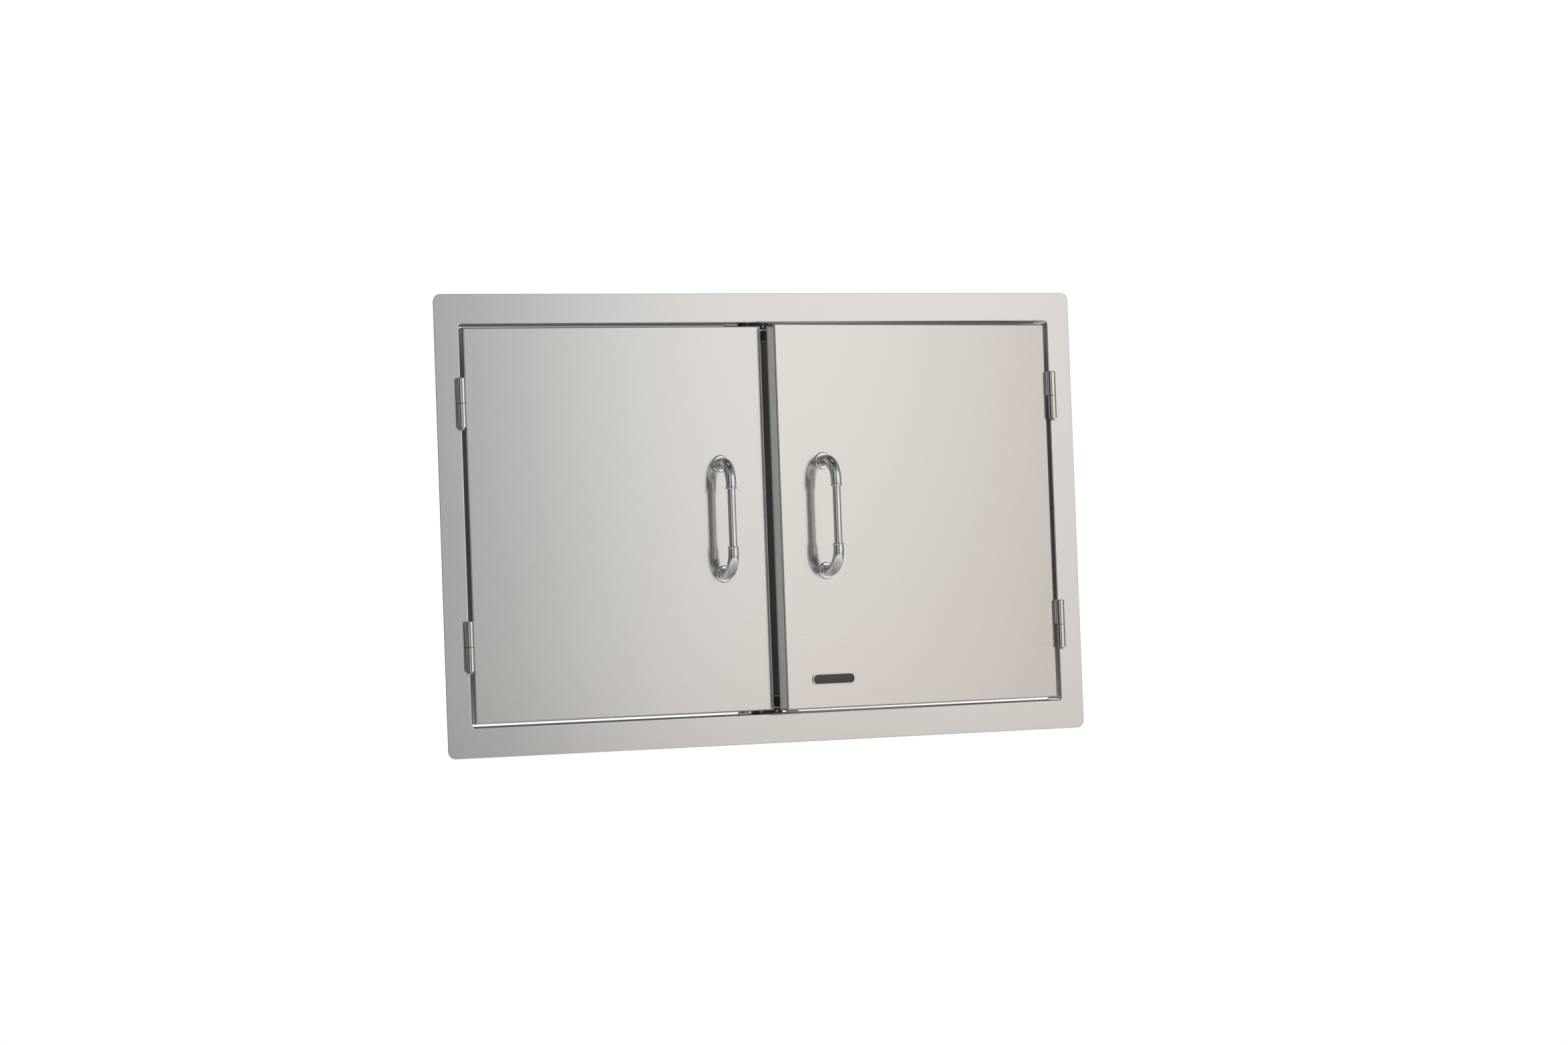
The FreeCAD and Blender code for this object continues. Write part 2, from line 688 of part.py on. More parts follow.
def right_frame_pieces():
    """The handed pieces on the frame's right half, under their names without the side."""
    upper, lower = hinge_tops()
    return {
        "upper_frame_leaf": frame_leaf(upper),
        "lower_frame_leaf": frame_leaf(lower),
        "upper_hinge_pin": hinge_pin(upper),
        "lower_hinge_pin": hinge_pin(lower),
        "upper_hinge_washer": hinge_washer(upper),
        "lower_hinge_washer": hinge_washer(lower),
        "top_catch_bracket": catch_bracket(),
        "bottom_catch_bracket": mirrored_z(catch_bracket()),
        "top_catch_magnet": catch_magnet(),
        "bottom_catch_magnet": mirrored_z(catch_magnet()),
    }


def four_corners(shape):
    """Copies of a top right piece at all four catches, as one group."""
    right = [shape, mirrored_z(shape)]
    return Part.makeCompound(right + [mirrored_x(s) for s in right])


def build():
    nodes = {
        "face_frame": face_frame(),
        "centre_stile": centre_stile(),
        "stile_rivets": stile_rivets(),
        "frame_leaf_rivets": frame_leaf_rivets(),
        "catch_screws": four_corners(catch_screw()),
        "catch_rivets": four_corners(catch_rivet()),
    }
    for name, shape in right_frame_pieces().items():
        nodes["right_" + name] = shape
        nodes["left_" + name] = mirrored_x(shape)
    for name, shape in right_door().items():
        nodes["left_" + name] = mirrored_x(shape)
        ajar = shape.copy()
        ajar.rotate(V(hinge_x, hinge_y, 0), V(0, 0, 1), ajar_angle)
        nodes["right_" + name] = ajar
    return nodes


def main():
    os.makedirs("parts", exist_ok=True)
    for name, shape in build().items():
        shape.exportStep("parts/" + name + ".step")
        state = "valid" if shape.isValid() else "INVALID"
        print(name, len(shape.Solids), "solid(s)", round(shape.Volume, 1), "mm3", state)


main()
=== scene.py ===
"""Finishes, badge plate, studio and camera for a double access door of an outdoor kitchen.

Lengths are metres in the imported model's own frame: X points right and Z up as one
faces the doors, Y points into the island, and the origin is the middle of the cut-out.
"""

import json
import math

import bmesh
import bpy
from bpy.props import FloatProperty, FloatVectorProperty, IntProperty, PointerProperty
from mathutils import Matrix, Vector


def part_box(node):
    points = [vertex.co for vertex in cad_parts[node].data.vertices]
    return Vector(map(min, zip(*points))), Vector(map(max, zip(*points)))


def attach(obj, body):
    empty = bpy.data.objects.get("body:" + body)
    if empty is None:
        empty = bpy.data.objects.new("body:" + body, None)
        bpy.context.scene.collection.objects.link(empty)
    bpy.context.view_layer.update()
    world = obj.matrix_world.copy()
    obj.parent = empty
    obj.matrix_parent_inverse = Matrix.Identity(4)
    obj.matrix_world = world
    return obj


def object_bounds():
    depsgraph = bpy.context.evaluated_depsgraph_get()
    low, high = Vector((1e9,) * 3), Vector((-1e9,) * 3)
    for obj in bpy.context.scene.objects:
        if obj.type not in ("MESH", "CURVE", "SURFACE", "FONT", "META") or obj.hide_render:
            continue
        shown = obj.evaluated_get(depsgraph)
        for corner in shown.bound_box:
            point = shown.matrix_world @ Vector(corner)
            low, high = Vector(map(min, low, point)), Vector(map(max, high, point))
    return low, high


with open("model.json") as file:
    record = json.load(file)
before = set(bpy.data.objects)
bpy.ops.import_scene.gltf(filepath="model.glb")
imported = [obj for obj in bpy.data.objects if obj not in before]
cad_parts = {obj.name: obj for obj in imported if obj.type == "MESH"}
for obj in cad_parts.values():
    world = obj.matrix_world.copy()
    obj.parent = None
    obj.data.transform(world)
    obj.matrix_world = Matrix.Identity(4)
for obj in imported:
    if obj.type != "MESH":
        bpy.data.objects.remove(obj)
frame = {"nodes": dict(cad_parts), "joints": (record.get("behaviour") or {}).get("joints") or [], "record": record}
cad_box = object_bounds()

bl_info = {
    "name": "Island access door",
    "version": (1, 0, 0),
    "blender": (4, 5, 0),
    "location": "3D View > Sidebar > Access Door",
    "description": "Finishes, badge plate and studio for a double access door",
    "category": "3D View",
}

MM = 0.001
SIDES = ("left", "right")
ENDS = ("upper", "lower")
CATCH_ENDS = ("top", "bottom")
ALONG = 0.9              # a unit direction with more than this of an axis counts as along it
TINY = 1e-6              # points closer than this to a plane lie in it


def slot_colour(slot):
    """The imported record's base colour for one of its material slots."""
    for material in frame["record"]["materials"]:
        if material["slot"] == slot:
            return tuple(material["base_color"])
    raise KeyError("the record has no material slot " + slot)


def joint_named(name):
    for joint in frame["joints"]:
        if joint["name"] == name:
            return joint
    raise KeyError("the record has no joint " + name)


# Node trees

class Line:
    """One output of a node tree. Arithmetic on it adds Math nodes."""

    def __init__(self, graph, socket):
        self.graph = graph
        self.socket = socket

    def __add__(self, other):
        return self.graph.maths("ADD", self, other)

    def __radd__(self, other):
        return self.graph.maths("ADD", other, self)

    def __sub__(self, other):
        return self.graph.maths("SUBTRACT", self, other)

    def __rsub__(self, other):
        return self.graph.maths("SUBTRACT", other, self)

    def __mul__(self, other):
        return self.graph.maths("MULTIPLY", self, other)

    def __rmul__(self, other):
        return self.graph.maths("MULTIPLY", other, self)

    def __truediv__(self, other):
        return self.graph.maths("DIVIDE", self, other)

    def __rtruediv__(self, other):
        return self.graph.maths("DIVIDE", other, self)

    def __gt__(self, other):
        return self.graph.maths("GREATER_THAN", self, other)

    def __lt__(self, other):
        return self.graph.maths("LESS_THAN", self, other)


class Graph:
    """The node tree of a material or of the world, built up one node at a time."""

    def __init__(self, tree):
        self.tree = tree
        tree.nodes.clear()

    @staticmethod
    def socket(sockets, name):
        if isinstance(name, int):
            return sockets[name]
        return next(socket for socket in sockets if socket.enabled and socket.name == name)

    @staticmethod
    def set_stops(ramp, stops):
        while len(ramp.elements) < len(stops):
            ramp.elements.new(1.0)
        for element, (position, colour) in zip(ramp.elements, stops):
            element.position = position
            element.color = (*colour, 1.0)

    def node(self, kind, settings=None, inputs=None, output=0):
        """Adds a node and gives back one of its outputs, if it has any."""
        made = self.tree.nodes.new(kind)
        for name, value in (settings or {}).items():
            if name == "stops":
                self.set_stops(made.color_ramp, value)
            else:
                setattr(made, name, value)
        for name, value in (inputs or {}).items():
            socket = self.socket(made.inputs, name)
            if isinstance(value, Line):
                self.tree.links.new(value.socket, socket)
            else:
                socket.default_value = value
        if made.outputs:
            return Line(self, self.socket(made.outputs, output))

    def maths(self, operation, *values):
        return self.node("ShaderNodeMath", {"operation": operation}, dict(enumerate(values)))

    def mix(self, share, first, second, blend="MIX"):
        """A colour between two colours, or their product."""
        pair = {"Factor": share, "A": opaque(first), "B": opaque(second)}
        return self.node("ShaderNodeMix", {"data_type": "RGBA", "blend_type": blend}, pair, "Result")

    def place(self):
        """X, Y and Z of the surface in the piece's own frame."""
        where = self.node("ShaderNodeTexCoord", output="Object")
        return self.parts(where)

    def parts(self, vector):
        split = self.node("ShaderNodeSeparateXYZ", inputs={"Vector": vector}).socket.node
        return [Line(self, socket) for socket in split.outputs]

    def noise(self, x, y, z, detail=2.0, rough=0.5):
        """Smooth noise from 0 to 1, one cell to each unit of the scaled coordinates."""
        where = self.node("ShaderNodeCombineXYZ", inputs={"X": x, "Y": y, "Z": z})
        inputs = {"Vector": where, "Scale": 1.0, "Detail": detail, "Roughness": rough}
        return self.node("ShaderNodeTexNoise", inputs=inputs)

    def rise(self, value, low, high):
        """0 up to the low value, 1 from the high value, and a soft step between them."""
        inputs = {"Value": value, "From Min": low, "From Max": high}
        return self.node("ShaderNodeMapRange", {"interpolation_type": "SMOOTHSTEP"}, inputs)

    def ramp(self, position, stops):
        return self.node("ShaderNodeValToRGB", {"stops": stops}, {"Fac": position}, "Color")

    def grit(self, cells, upright=None, detail=2.0, rough=0.5):
        """Noise fixed to the piece: cells to the metre, and upright where they differ up and down."""
        x, y, z = self.place()
        return self.noise(x * cells, y * cells, z * (upright or cells), detail, rough)

    def shades(self, share, colour, first, last):
        """From the colour times the first factor to the colour times the last."""
        return self.mix(share, scaled(colour, first), scaled(colour, last))

    def bump(self, height, depth):
        return self.node("ShaderNodeBump", inputs={"Height": height, "Distance": depth})

    def grain_line(self):
        """The coordinate across a sheet's grain, which runs level on upright faces and
        lengthwise on flat ones."""
        x, y, z = self.place()
        normal = self.parts(self.node("ShaderNodeTexCoord", output="Normal"))
        lies_flat = self.maths("ABSOLUTE", normal[2]) > math.cos(math.radians(45))
        return z * (1 - lies_flat) + y * lies_flat

    def surface(self, shader):
        self.node("ShaderNodeOutputMaterial", inputs={"Surface": shader})

    def cover(self, inputs):
        """Ends the tree in the standard shader with these sockets."""
        self.surface(self.node("ShaderNodeBsdfPrincipled", inputs=inputs))


def opaque(colour):
    return colour if isinstance(colour, Line) else (*colour[:3], 1.0)


def scaled(colour, factor):
    return tuple(min(1.0, part * factor) for part in colour)


def new_material(name):
    material = bpy.data.materials.new(name)
    material.use_nodes = True
    return material, Graph(material.node_tree)


def uneven(middle, *layers):
    """A value that strays from its middle by each layer of noise, times the layer's weight."""
    for layer, weight in layers:
        middle = middle + (layer - 0.5) * weight
    return middle


# Finishes

# Noise cells to the metre along the satin sheet's grain and across it
SCRATCHES = (45, 1200)
STREAKS = (5, 420)
# Cells to the metre of the fine grit on the dark pieces
NYLON_GRIT = 900
FERRITE_GRIT = 1400
STILE_SHADE_GRIT = 700
ENAMEL_GRIT = 2600


def brushed_sheet(name, colour, settings):
    """Satin sheet, its grain running left to right."""
    material, graph = new_material(name)
    x, y, z = graph.place()
    line = graph.grain_line()
    scratches = graph.noise(x * SCRATCHES[0], 0.0, line * SCRATCHES[1])
    streaks = graph.noise(x * STREAKS[0], y * STREAKS[0], line * STREAKS[1], 3.0, 0.6)
    clouds = graph.grit(7, upright=11, detail=3.0)
    shade = uneven(0.5, (scratches, 0.9), (streaks, 0.4), (clouds, 0.4))
    spread = settings.grain_contrast
    # Upright, with a slight lean so that it is a direction on flat faces too
    across_grain = graph.node("ShaderNodeCombineXYZ", inputs={"X": 0.0, "Y": 0.02, "Z": 1.0})
    graph.cover({
        "Base Color": graph.shades(shade, colour, 1 - spread, 1 + spread),
        "Metallic": 1.0,
        "Roughness": uneven(settings.roughness, (streaks, 0.05), (clouds, 0.05)),
        "Anisotropic": settings.stretch,
        "Tangent": across_grain,
        "Normal": graph.bump(scratches, settings.grain_depth),
    })
    return material


def polished_steel(name, colour, roughness, ring_pitch):
    """Turned and polished bar, with faint rings round it."""
    material, graph = new_material(name)
    rings = graph.grit(40, upright=1 / ring_pitch)
    wear = graph.grit(90, upright=60, detail=3.0)
    shade = uneven(0.5, (rings, 0.6), (wear, 0.8))
    graph.cover({
        "Base Color": graph.shades(shade, colour, 0.9, 1.08),
        "Metallic": 1.0,
        "Roughness": uneven(roughness, (wear, 0.08), (rings, 0.05)),
        "Normal": graph.bump(rings, 0.004 * MM),
    })
    return material


def mill_steel(name, colour, roughness):
    """Cut and pressed steel as it comes from the mill, with a dull mottle."""
    material, graph = new_material(name)
    mottle = graph.grit(260, detail=4.0, rough=0.6)
    patches = graph.grit(35)
    shade = uneven(0.5, (mottle, 0.6), (patches, 0.6))
    graph.cover({
        "Base Color": graph.shades(shade, colour, 0.86, 1.1),
        "Metallic": 1.0,
        "Roughness": uneven(roughness, (mottle, 0.12), (patches, 0.1)),
        "Normal": graph.bump(mottle, 0.01 * MM),
    })
    return material


def mirror_chrome(name, colour, roughness):
    """Bright plating with faint finger marks and the slight waviness of a buffed casting."""
    material, graph = new_material(name)
    marks = graph.grit(120, upright=55, detail=4.0, rough=0.6)
    waves = graph.grit(70, upright=40, detail=1.0)
    smudge = graph.rise(marks, 0.48, 0.75)
    graph.cover({
        "Base Color": graph.shades(smudge, colour, 1.0, 0.94),
        "Metallic": 1.0,
        "Roughness": roughness + smudge * 0.05,
        "Normal": graph.bump(waves, 0.012 * MM),
    })
    return material


def dull_black(name, colour, roughness, grit):
    """Dark moulded or sintered material with a fine grit, also used for the stile's dark colour, which is painted
    shade.
    """
    material, graph = new_material(name)
    speckle = graph.grit(grit, detail=3.0, rough=0.6)
    dust = graph.grit(90)
    graph.cover({
        "Base Color": graph.shades(speckle, colour, 0.7, 1.6),
        "Roughness": uneven(roughness, (speckle, 0.2), (dust, 0.15)),
        "Normal": graph.bump(speckle, 0.02 * MM),
    })
    return material


def give_finish(material, *names):
    for name in names:
        frame["nodes"][name].material_slots[0].material = material


def each(pattern, ends=("",)):
    """Node names of a piece on both sides, and at both ends where it has ends."""
    return [pattern.format(side=side, end=end) for side in SIDES for end in ends]


# Modelling by hand

SHARP = math.radians(35)     # an edge that turns by more than this stays sharp


def start_block(name, low, high):
    """A box between two corners, alone selected and open in edit mode."""
    bpy.ops.object.select_all(action="DESELECT")
    low, high = Vector(low), Vector(high)
    bpy.ops.mesh.primitive_cube_add(size=1.0, location=(low + high) / 2, scale=high - low)
    piece = bpy.context.object
    piece.name = name
    piece.data.name = name
    bpy.ops.object.transform_apply(location=True, rotation=True, scale=True)
    bpy.ops.object.mode_set(mode="EDIT")
    bpy.ops.mesh.select_all(action="DESELECT")
    return piece


def pick(piece, kind, test):
    """Selects the faces or edges that pass the test, and nothing else."""
    bpy.ops.mesh.select_mode(type="FACE" if kind == "faces" else "EDGE")
    bpy.ops.mesh.select_all(action="DESELECT")
    mesh = bmesh.from_edit_mesh(piece.data)
    for part in getattr(mesh, kind):
        if test(part):
            part.select_set(True)
    bmesh.update_edit_mesh(piece.data)


def runs_along_y(edge):
    start, end = (vertex.co for vertex in edge.verts)
    return abs((end - start).normalized().y) > ALONG


def faces_front(face):
    return face.normal.y < -ALONG


def close_block(piece):
    """Turns the faces outwards, leaves edit mode and smooths all but the sharp edges."""
    bpy.ops.mesh.select_all(action="SELECT")
    bpy.ops.mesh.normals_make_consistent(inside=False)
    bpy.ops.object.mode_set(mode="OBJECT")
    bpy.ops.object.shade_smooth_by_angle(angle=SHARP)
    return piece


def turn_about_upright(piece, centre, angle):
    """Turns a closed piece about an upright line, and leaves its object at the origin."""
    bpy.ops.object.select_all(action="DESELECT")
    piece.select_set(True)
    bpy.context.view_layer.objects.active = piece
    to_hinge = Matrix.Translation(centre)
    piece.matrix_world = to_hinge @ Matrix.Rotation(angle, 4, "Z") @ to_hinge.inverted()
    bpy.ops.object.transform_apply(location=True, rotation=True, scale=True)


# Sizes and colours that a user may change

class StudioSettings(bpy.types.PropertyGroup):
    """Camera, floor, wall and lamps."""
    lens: FloatProperty(name="Lens", description="Focal length on a 36 mm wide sensor, in millimetres",
                        default=76.41, min=10.0, unit="CAMERA")
    camera_place: FloatVectorProperty(name="Camera place", description="Where the camera stands",
                                      default=(-1.4142, -3.8827, -0.1125), unit="LENGTH")
    camera_turn: FloatProperty(name="Turn", description="Camera's heading, to the left of the depth axis",
                               default=math.radians(-20.27), subtype="ANGLE")
    camera_tilt: FloatProperty(name="Tilt", description="How far the camera looks up",
                               default=math.radians(1.469), subtype="ANGLE")
    camera_roll: FloatProperty(name="Roll", description="How far the camera leans",
                               default=math.radians(-2.10), subtype="ANGLE")
    floor_radius: FloatProperty(name="Floor radius", description="Radius of the pale floor",
                                default=1.0, unit="LENGTH")
    floor_colour: FloatVectorProperty(name="Floor", description="Colour of the pale floor",
                                      default=(0.80, 0.80, 0.79), subtype="COLOR", min=0, max=1)
    # Painted shade: the floor's colour is darkened to this share under the frame, as a painted shadow
    floor_painted_shade: FloatProperty(name="Floor shade",
                               description="Share of the floor's colour kept under the frame",
                               default=0.55, subtype="FACTOR", min=0, max=1)
    wall_radius: FloatProperty(name="Wall radius", description="Distance of the studio wall",
                               default=2.2, unit="LENGTH")
    ceiling: FloatProperty(name="Ceiling", description="Brightness of the wall well above eye level",
                           default=0.32, min=0.0)
    doorway: FloatProperty(name="Doorway",
                           description="Brightness of the dark band on the wall behind the frame",
                           default=0.06, min=0.0)
    ambient: FloatProperty(name="Ambient", description="Strength of the even light from all round",
                           default=0.8, min=0.0)
    key_power: FloatProperty(name="Key lamp", description="Power of the large lamp at the front right",
                             default=26.0, unit="POWER")
    fill_power: FloatProperty(name="Fill lamp", description="Power of the lamp at the front left",
                              default=14.0, unit="POWER")
    back_power: FloatProperty(name="Back lamp", description="Power of the lamp behind the frame",
                              default=22.0, unit="POWER")


class SheetSettings(bpy.types.PropertyGroup):
    """Frame, door skins and liners."""
    frame_colour: FloatVectorProperty(name="Frame", description="Colour of the face frame's steel",
                                      default=slot_colour("frame_steel"), subtype="COLOR", min=0, max=1)
    door_colour: FloatVectorProperty(name="Doors", description="Colour of the door skins' steel",
                                     default=slot_colour("door_steel"), subtype="COLOR", min=0, max=1)
    liner_colour: FloatVectorProperty(name="Liners", description="Colour of the pressed inner walls",
                                      default=slot_colour("liner_steel"), subtype="COLOR", min=0, max=1)
    roughness: FloatProperty(name="Roughness", description="Roughness of the satin sheet",
                             default=0.16, subtype="FACTOR", min=0, max=1)
    liner_roughness: FloatProperty(name="Liner roughness", description="Roughness of the inner walls",
                                   default=0.34, subtype="FACTOR", min=0, max=1)
    stretch: FloatProperty(name="Stretch",
                           description="How much more the grain blurs up and down than sideways",
                           default=0.8, subtype="FACTOR", min=0, max=1)
    grain_contrast: FloatProperty(name="Grain contrast", description="Lightness of the grain's streaks",
                                  default=0.035, subtype="FACTOR", min=0, max=1)
    grain_depth: FloatProperty(name="Grain depth", description="Depth of the brushed scratches",
                               default=0.0015 * MM, unit="LENGTH", precision=6)


class HingeSettings(bpy.types.PropertyGroup):
    """Hinge leaves, pins and washers."""
    leaf_colour: FloatVectorProperty(name="Leaves", description="Colour of the hinge leaves and barrels",
                                     default=(0.82, 0.81, 0.80), subtype="COLOR", min=0, max=1)
    pin_colour: FloatVectorProperty(name="Pins", description="Colour of the hinge pins",
                                    default=slot_colour("pin_steel"), subtype="COLOR", min=0, max=1)
    washer_colour: FloatVectorProperty(name="Washers", description="Colour of the nylon washers",
                                       default=slot_colour("washer_nylon"), subtype="COLOR", min=0, max=1)
    barrel_roughness: FloatProperty(name="Barrel roughness",
                                    description="Roughness of the polished barrels",
                                    default=0.09, subtype="FACTOR", min=0, max=1)
    pin_roughness: FloatProperty(name="Pin roughness", description="Roughness of the turned pins",
                                 default=0.24, subtype="FACTOR", min=0, max=1)
    washer_roughness: FloatProperty(name="Washer roughness", description="Roughness of the washers",
                                    default=0.45, subtype="FACTOR", min=0, max=1)
    ring_pitch: FloatProperty(name="Ring pitch",
                              description="Distance between the barrels' faint turning marks",
                              default=0.6 * MM, unit="LENGTH", precision=5)
    pin_ring_pitch: FloatProperty(name="Pin ring pitch",
                                  description="Distance between the pins' turning marks",
                                  default=0.3 * MM, unit="LENGTH", precision=5)


class HandleSettings(bpy.types.PropertyGroup):
    """Rosettes, elbows and grip bars."""
    colour: FloatVectorProperty(name="Plating", description="Colour of the bright plating",
                                default=slot_colour("handle_chrome"), subtype="COLOR", min=0, max=1)
    roughness: FloatProperty(name="Roughness", description="Roughness of the clean plating",
                             default=0.03, subtype="FACTOR", min=0, max=1)


class CatchSettings(bpy.types.PropertyGroup):
    """Magnets, strike plates, brackets and stile."""
    magnet_colour: FloatVectorProperty(name="Magnets", description="Colour of the ferrite magnets",
                                       default=slot_colour("magnet_black"), subtype="COLOR", min=0, max=1)
    strike_colour: FloatVectorProperty(name="Strikes", description="Colour of the strike plates",
                                       default=slot_colour("strike_steel"), subtype="COLOR", min=0, max=1)
    bracket_colour: FloatVectorProperty(name="Brackets",
                                        description="Colour of brackets and backing plates",
                                        default=slot_colour("bracket_steel"), subtype="COLOR",
                                        min=0, max=1)
    # The stile's dark colour is painted shade, standing for the shade in the gap between the doors
    stile_shade_colour: FloatVectorProperty(name="Stile",
                                      description="Colour of the coated stile behind the doors",
                                      default=(0.10, 0.09, 0.094), subtype="COLOR", min=0, max=1)
    magnet_roughness: FloatProperty(name="Magnet roughness", description="Roughness of the magnets",
                                    default=0.5, subtype="FACTOR", min=0, max=1)
    strike_roughness: FloatProperty(name="Strike roughness", description="Roughness of the strike plates",
                                    default=0.3, subtype="FACTOR", min=0, max=1)
    bracket_roughness: FloatProperty(name="Bracket roughness", description="Roughness of the brackets",
                                     default=0.36, subtype="FACTOR", min=0, max=1)
    stile_roughness: FloatProperty(name="Stile roughness", description="Roughness of the coated stile",
                                   default=0.4, subtype="FACTOR", min=0, max=1)


class FastenerSettings(bpy.types.PropertyGroup):
    """Rivets and screws."""
    colour: FloatVectorProperty(name="Steel", description="Colour of the rivets and screws",
                                default=slot_colour("fastener_steel"), subtype="COLOR", min=0, max=1)
    roughness: FloatProperty(name="Roughness", description="Roughness of the rivets and screws",
                             default=0.3, subtype="FACTOR", min=0, max=1)
    ring_pitch: FloatProperty(name="Ring pitch", description="Distance between faint turning marks",
                              default=0.8 * MM, unit="LENGTH", precision=5)


class BadgeSettings(bpy.types.PropertyGroup):
    """The bare plate low on the right door."""
    length: FloatProperty(name="Length", description="Length of the plate",
                          default=58.6 * MM, unit="LENGTH", precision=4)
    height: FloatProperty(name="Height", description="Height of the plate",
                          default=14.2 * MM, unit="LENGTH", precision=4)
    thickness: FloatProperty(name="Thickness", description="How far the rim stands off the door",
                             default=1.8 * MM, unit="LENGTH", precision=4)
    rim_width: FloatProperty(name="Rim width", description="Width of the bright rim",
                             default=1.5 * MM, unit="LENGTH", precision=4)
    recess: FloatProperty(name="Recess", description="How far the dark field lies below the rim",
                          default=0.5 * MM, unit="LENGTH", precision=4)
    middle_x: FloatProperty(name="Middle X", description="Middle of the plate with the door shut",
                            default=66.9 * MM, unit="LENGTH", precision=4)
    middle_z: FloatProperty(name="Middle Z", description="Height of the plate's middle",
                            default=-202.5 * MM, unit="LENGTH", precision=4)
    segments: IntProperty(name="Segments", description="Steps in each of the plate's rounded corners",
                          default=14, min=3)
    rim_roughness: FloatProperty(name="Rim roughness", description="Roughness of the bright rim",
                                 default=0.1, subtype="FACTOR", min=0, max=1)
    field_colour: FloatVectorProperty(name="Field", description="Colour of the bare dark field",
                                      default=(0.035, 0.032, 0.033), subtype="COLOR", min=0, max=1)
    field_roughness: FloatProperty(name="Field roughness", description="Roughness of the dark field",
                                   default=0.35, subtype="FACTOR", min=0, max=1)


# Studio

SENSOR_WIDTH = 36.0      # millimetres
# Floor: where it thins out, in shares of its radius, where its painted shade under the frame
# ends, in metres from the middle, and how edge on it is seen where it vanishes, from 0 to 1
FLOOR_THINS = (0.35, 0.95)
FLOOR_PAINTED_SHADE_SPAN = (0.05, 0.65)
FLOOR_EDGE_ON = (0.6, 0.95)
# Dark doorway on the wall behind the frame, which the slits round the doors mirror: its
# soft sides in turns from the front, and its middle and soft ends as sines of the height
DOORWAY_SIDES = (0.385, 0.41)
DOORWAY_MIDDLE = 0.04
DOORWAY_ENDS = (0.16, 0.22)
# Sines of the heights between which the even ceiling takes over from the wall
CEILING_STARTS = (0.42, 0.7)
# Lamps: name, setting of the power, width in metres, bearing to the right of the front and
# height, both in degrees
LAMPS = (
    ("key_lamp", "key_power", 2.4, 27, 38),
    ("fill_lamp", "fill_power", 2.0, -43, 30),
    ("back_lamp", "back_power", 2.4, 170, 45),
)
LAMP_DISTANCE = 3.0
GREEN_SHARE = 0.6        # of what a warm light loses in blue, the part that it loses in green
# Brightness of the studio wall: degrees to the right of the front, level, warmth. The short
# light stretches at 90 degrees each way are panels, which the returns mirror from the side.
WALL_TONES = (
    (-180, 0.90, 0.0),
    (-124, 0.85, 0.0),
    (-111, 0.04, 0.0),
    (-98, 0.04, 0.0),
    (-93, 0.50, 0.0),
    (-87, 0.50, 0.0),
    (-82, 0.03, 0.0),
    (-64, 0.02, 0.0),
    (-55, 0.22, 0.0),
    (-47, 0.48, 0.0),
    (-29, 0.58, 0.0),
    (-20, 0.15, 0.0),
    (-7, 0.15, 0.0),
    (0, 0.47, -0.025),
    (7.4, 0.69, -0.015),
    (9.4, 0.78, 0.0),
    (13.5, 0.935, 0.01),
    (17.7, 1.055, 0.055),
    (24, 1.09, 0.07),
    (31.4, 1.095, 0.07),
    (35.4, 1.045, 0.075),
    (40, 0.965, 0.09),
    (46.7, 0.80, 0.14),
    (56, 0.66, 0.12),
    (64, 0.46, 0.0),
    (72, 0.20, 0.0),
    (82, 0.05, 0.0),
    (87, 0.50, 0.0),
    (93, 0.50, 0.0),
    (100, 0.05, 0.0),
    (120, 0.85, 0.0),
    (180, 0.90, 0.0),
)
# Share of that level kept at each height: sine of the height above the horizon, share,
# warmth. The last two rows are a panel overhead, which level faces mirror.
WALL_HEIGHTS = (
    (-1.0, 0.60, 0.03),
    (-0.3, 0.62, 0.05),
    (-0.16, 0.89, 0.05),
    (-0.06, 0.90, 0.02),
    (0.014, 0.94, 0.0),
    (0.12, 0.98, 0.0),
    (0.19, 1.0, 0.0),
    (0.5, 1.0, 0.0),
    (0.7, 0.78, 0.0),
    (0.83, 0.45, 0.0),
    (0.94, 0.15, 0.0),
    (0.978, 0.15, 0.0),
    (0.992, 1.5, 0.0),
    (1.0, 1.5, 0.0),
)


def stand_camera(settings):
    data = bpy.data.cameras.new("photo_camera")
    data.lens = settings.lens
    data.sensor_width = SENSOR_WIDTH
    data.clip_end = 60.0
    camera = bpy.data.objects.new("photo_camera", data)
    bpy.context.scene.collection.objects.link(camera)
    heading = Matrix.Rotation(settings.camera_turn, 4, "Z")
    pitch = Matrix.Rotation(math.pi / 2 + settings.camera_tilt, 4, "X")
    lean = Matrix.Rotation(settings.camera_roll, 4, "Z")
    camera.matrix_world = Matrix.Translation(settings.camera_place) @ heading @ pitch @ lean
    bpy.context.scene.camera = camera


def seen_directly(graph):
    """1 for what the camera sees itself or in a mirror or glass, 0 for light on the object."""
    kinds = ("Is Camera Ray", "Is Glossy Ray", "Is Transmission Ray")
    total = sum(graph.node("ShaderNodeLightPath", output=kind) for kind in kinds)
    return graph.maths("MINIMUM", total, 1.0)


def light_world(settings):
    world = bpy.data.worlds.new("studio_air")
    world.use_nodes = True
    graph = Graph(world.node_tree)
    strength = settings.ambient + seen_directly(graph) * (1 - settings.ambient)
    air = graph.node("ShaderNodeBackground", inputs={"Color": (1, 1, 1, 1), "Strength": strength})
    graph.node("ShaderNodeOutputWorld", inputs={"Surface": air})
    bpy.context.scene.world = world


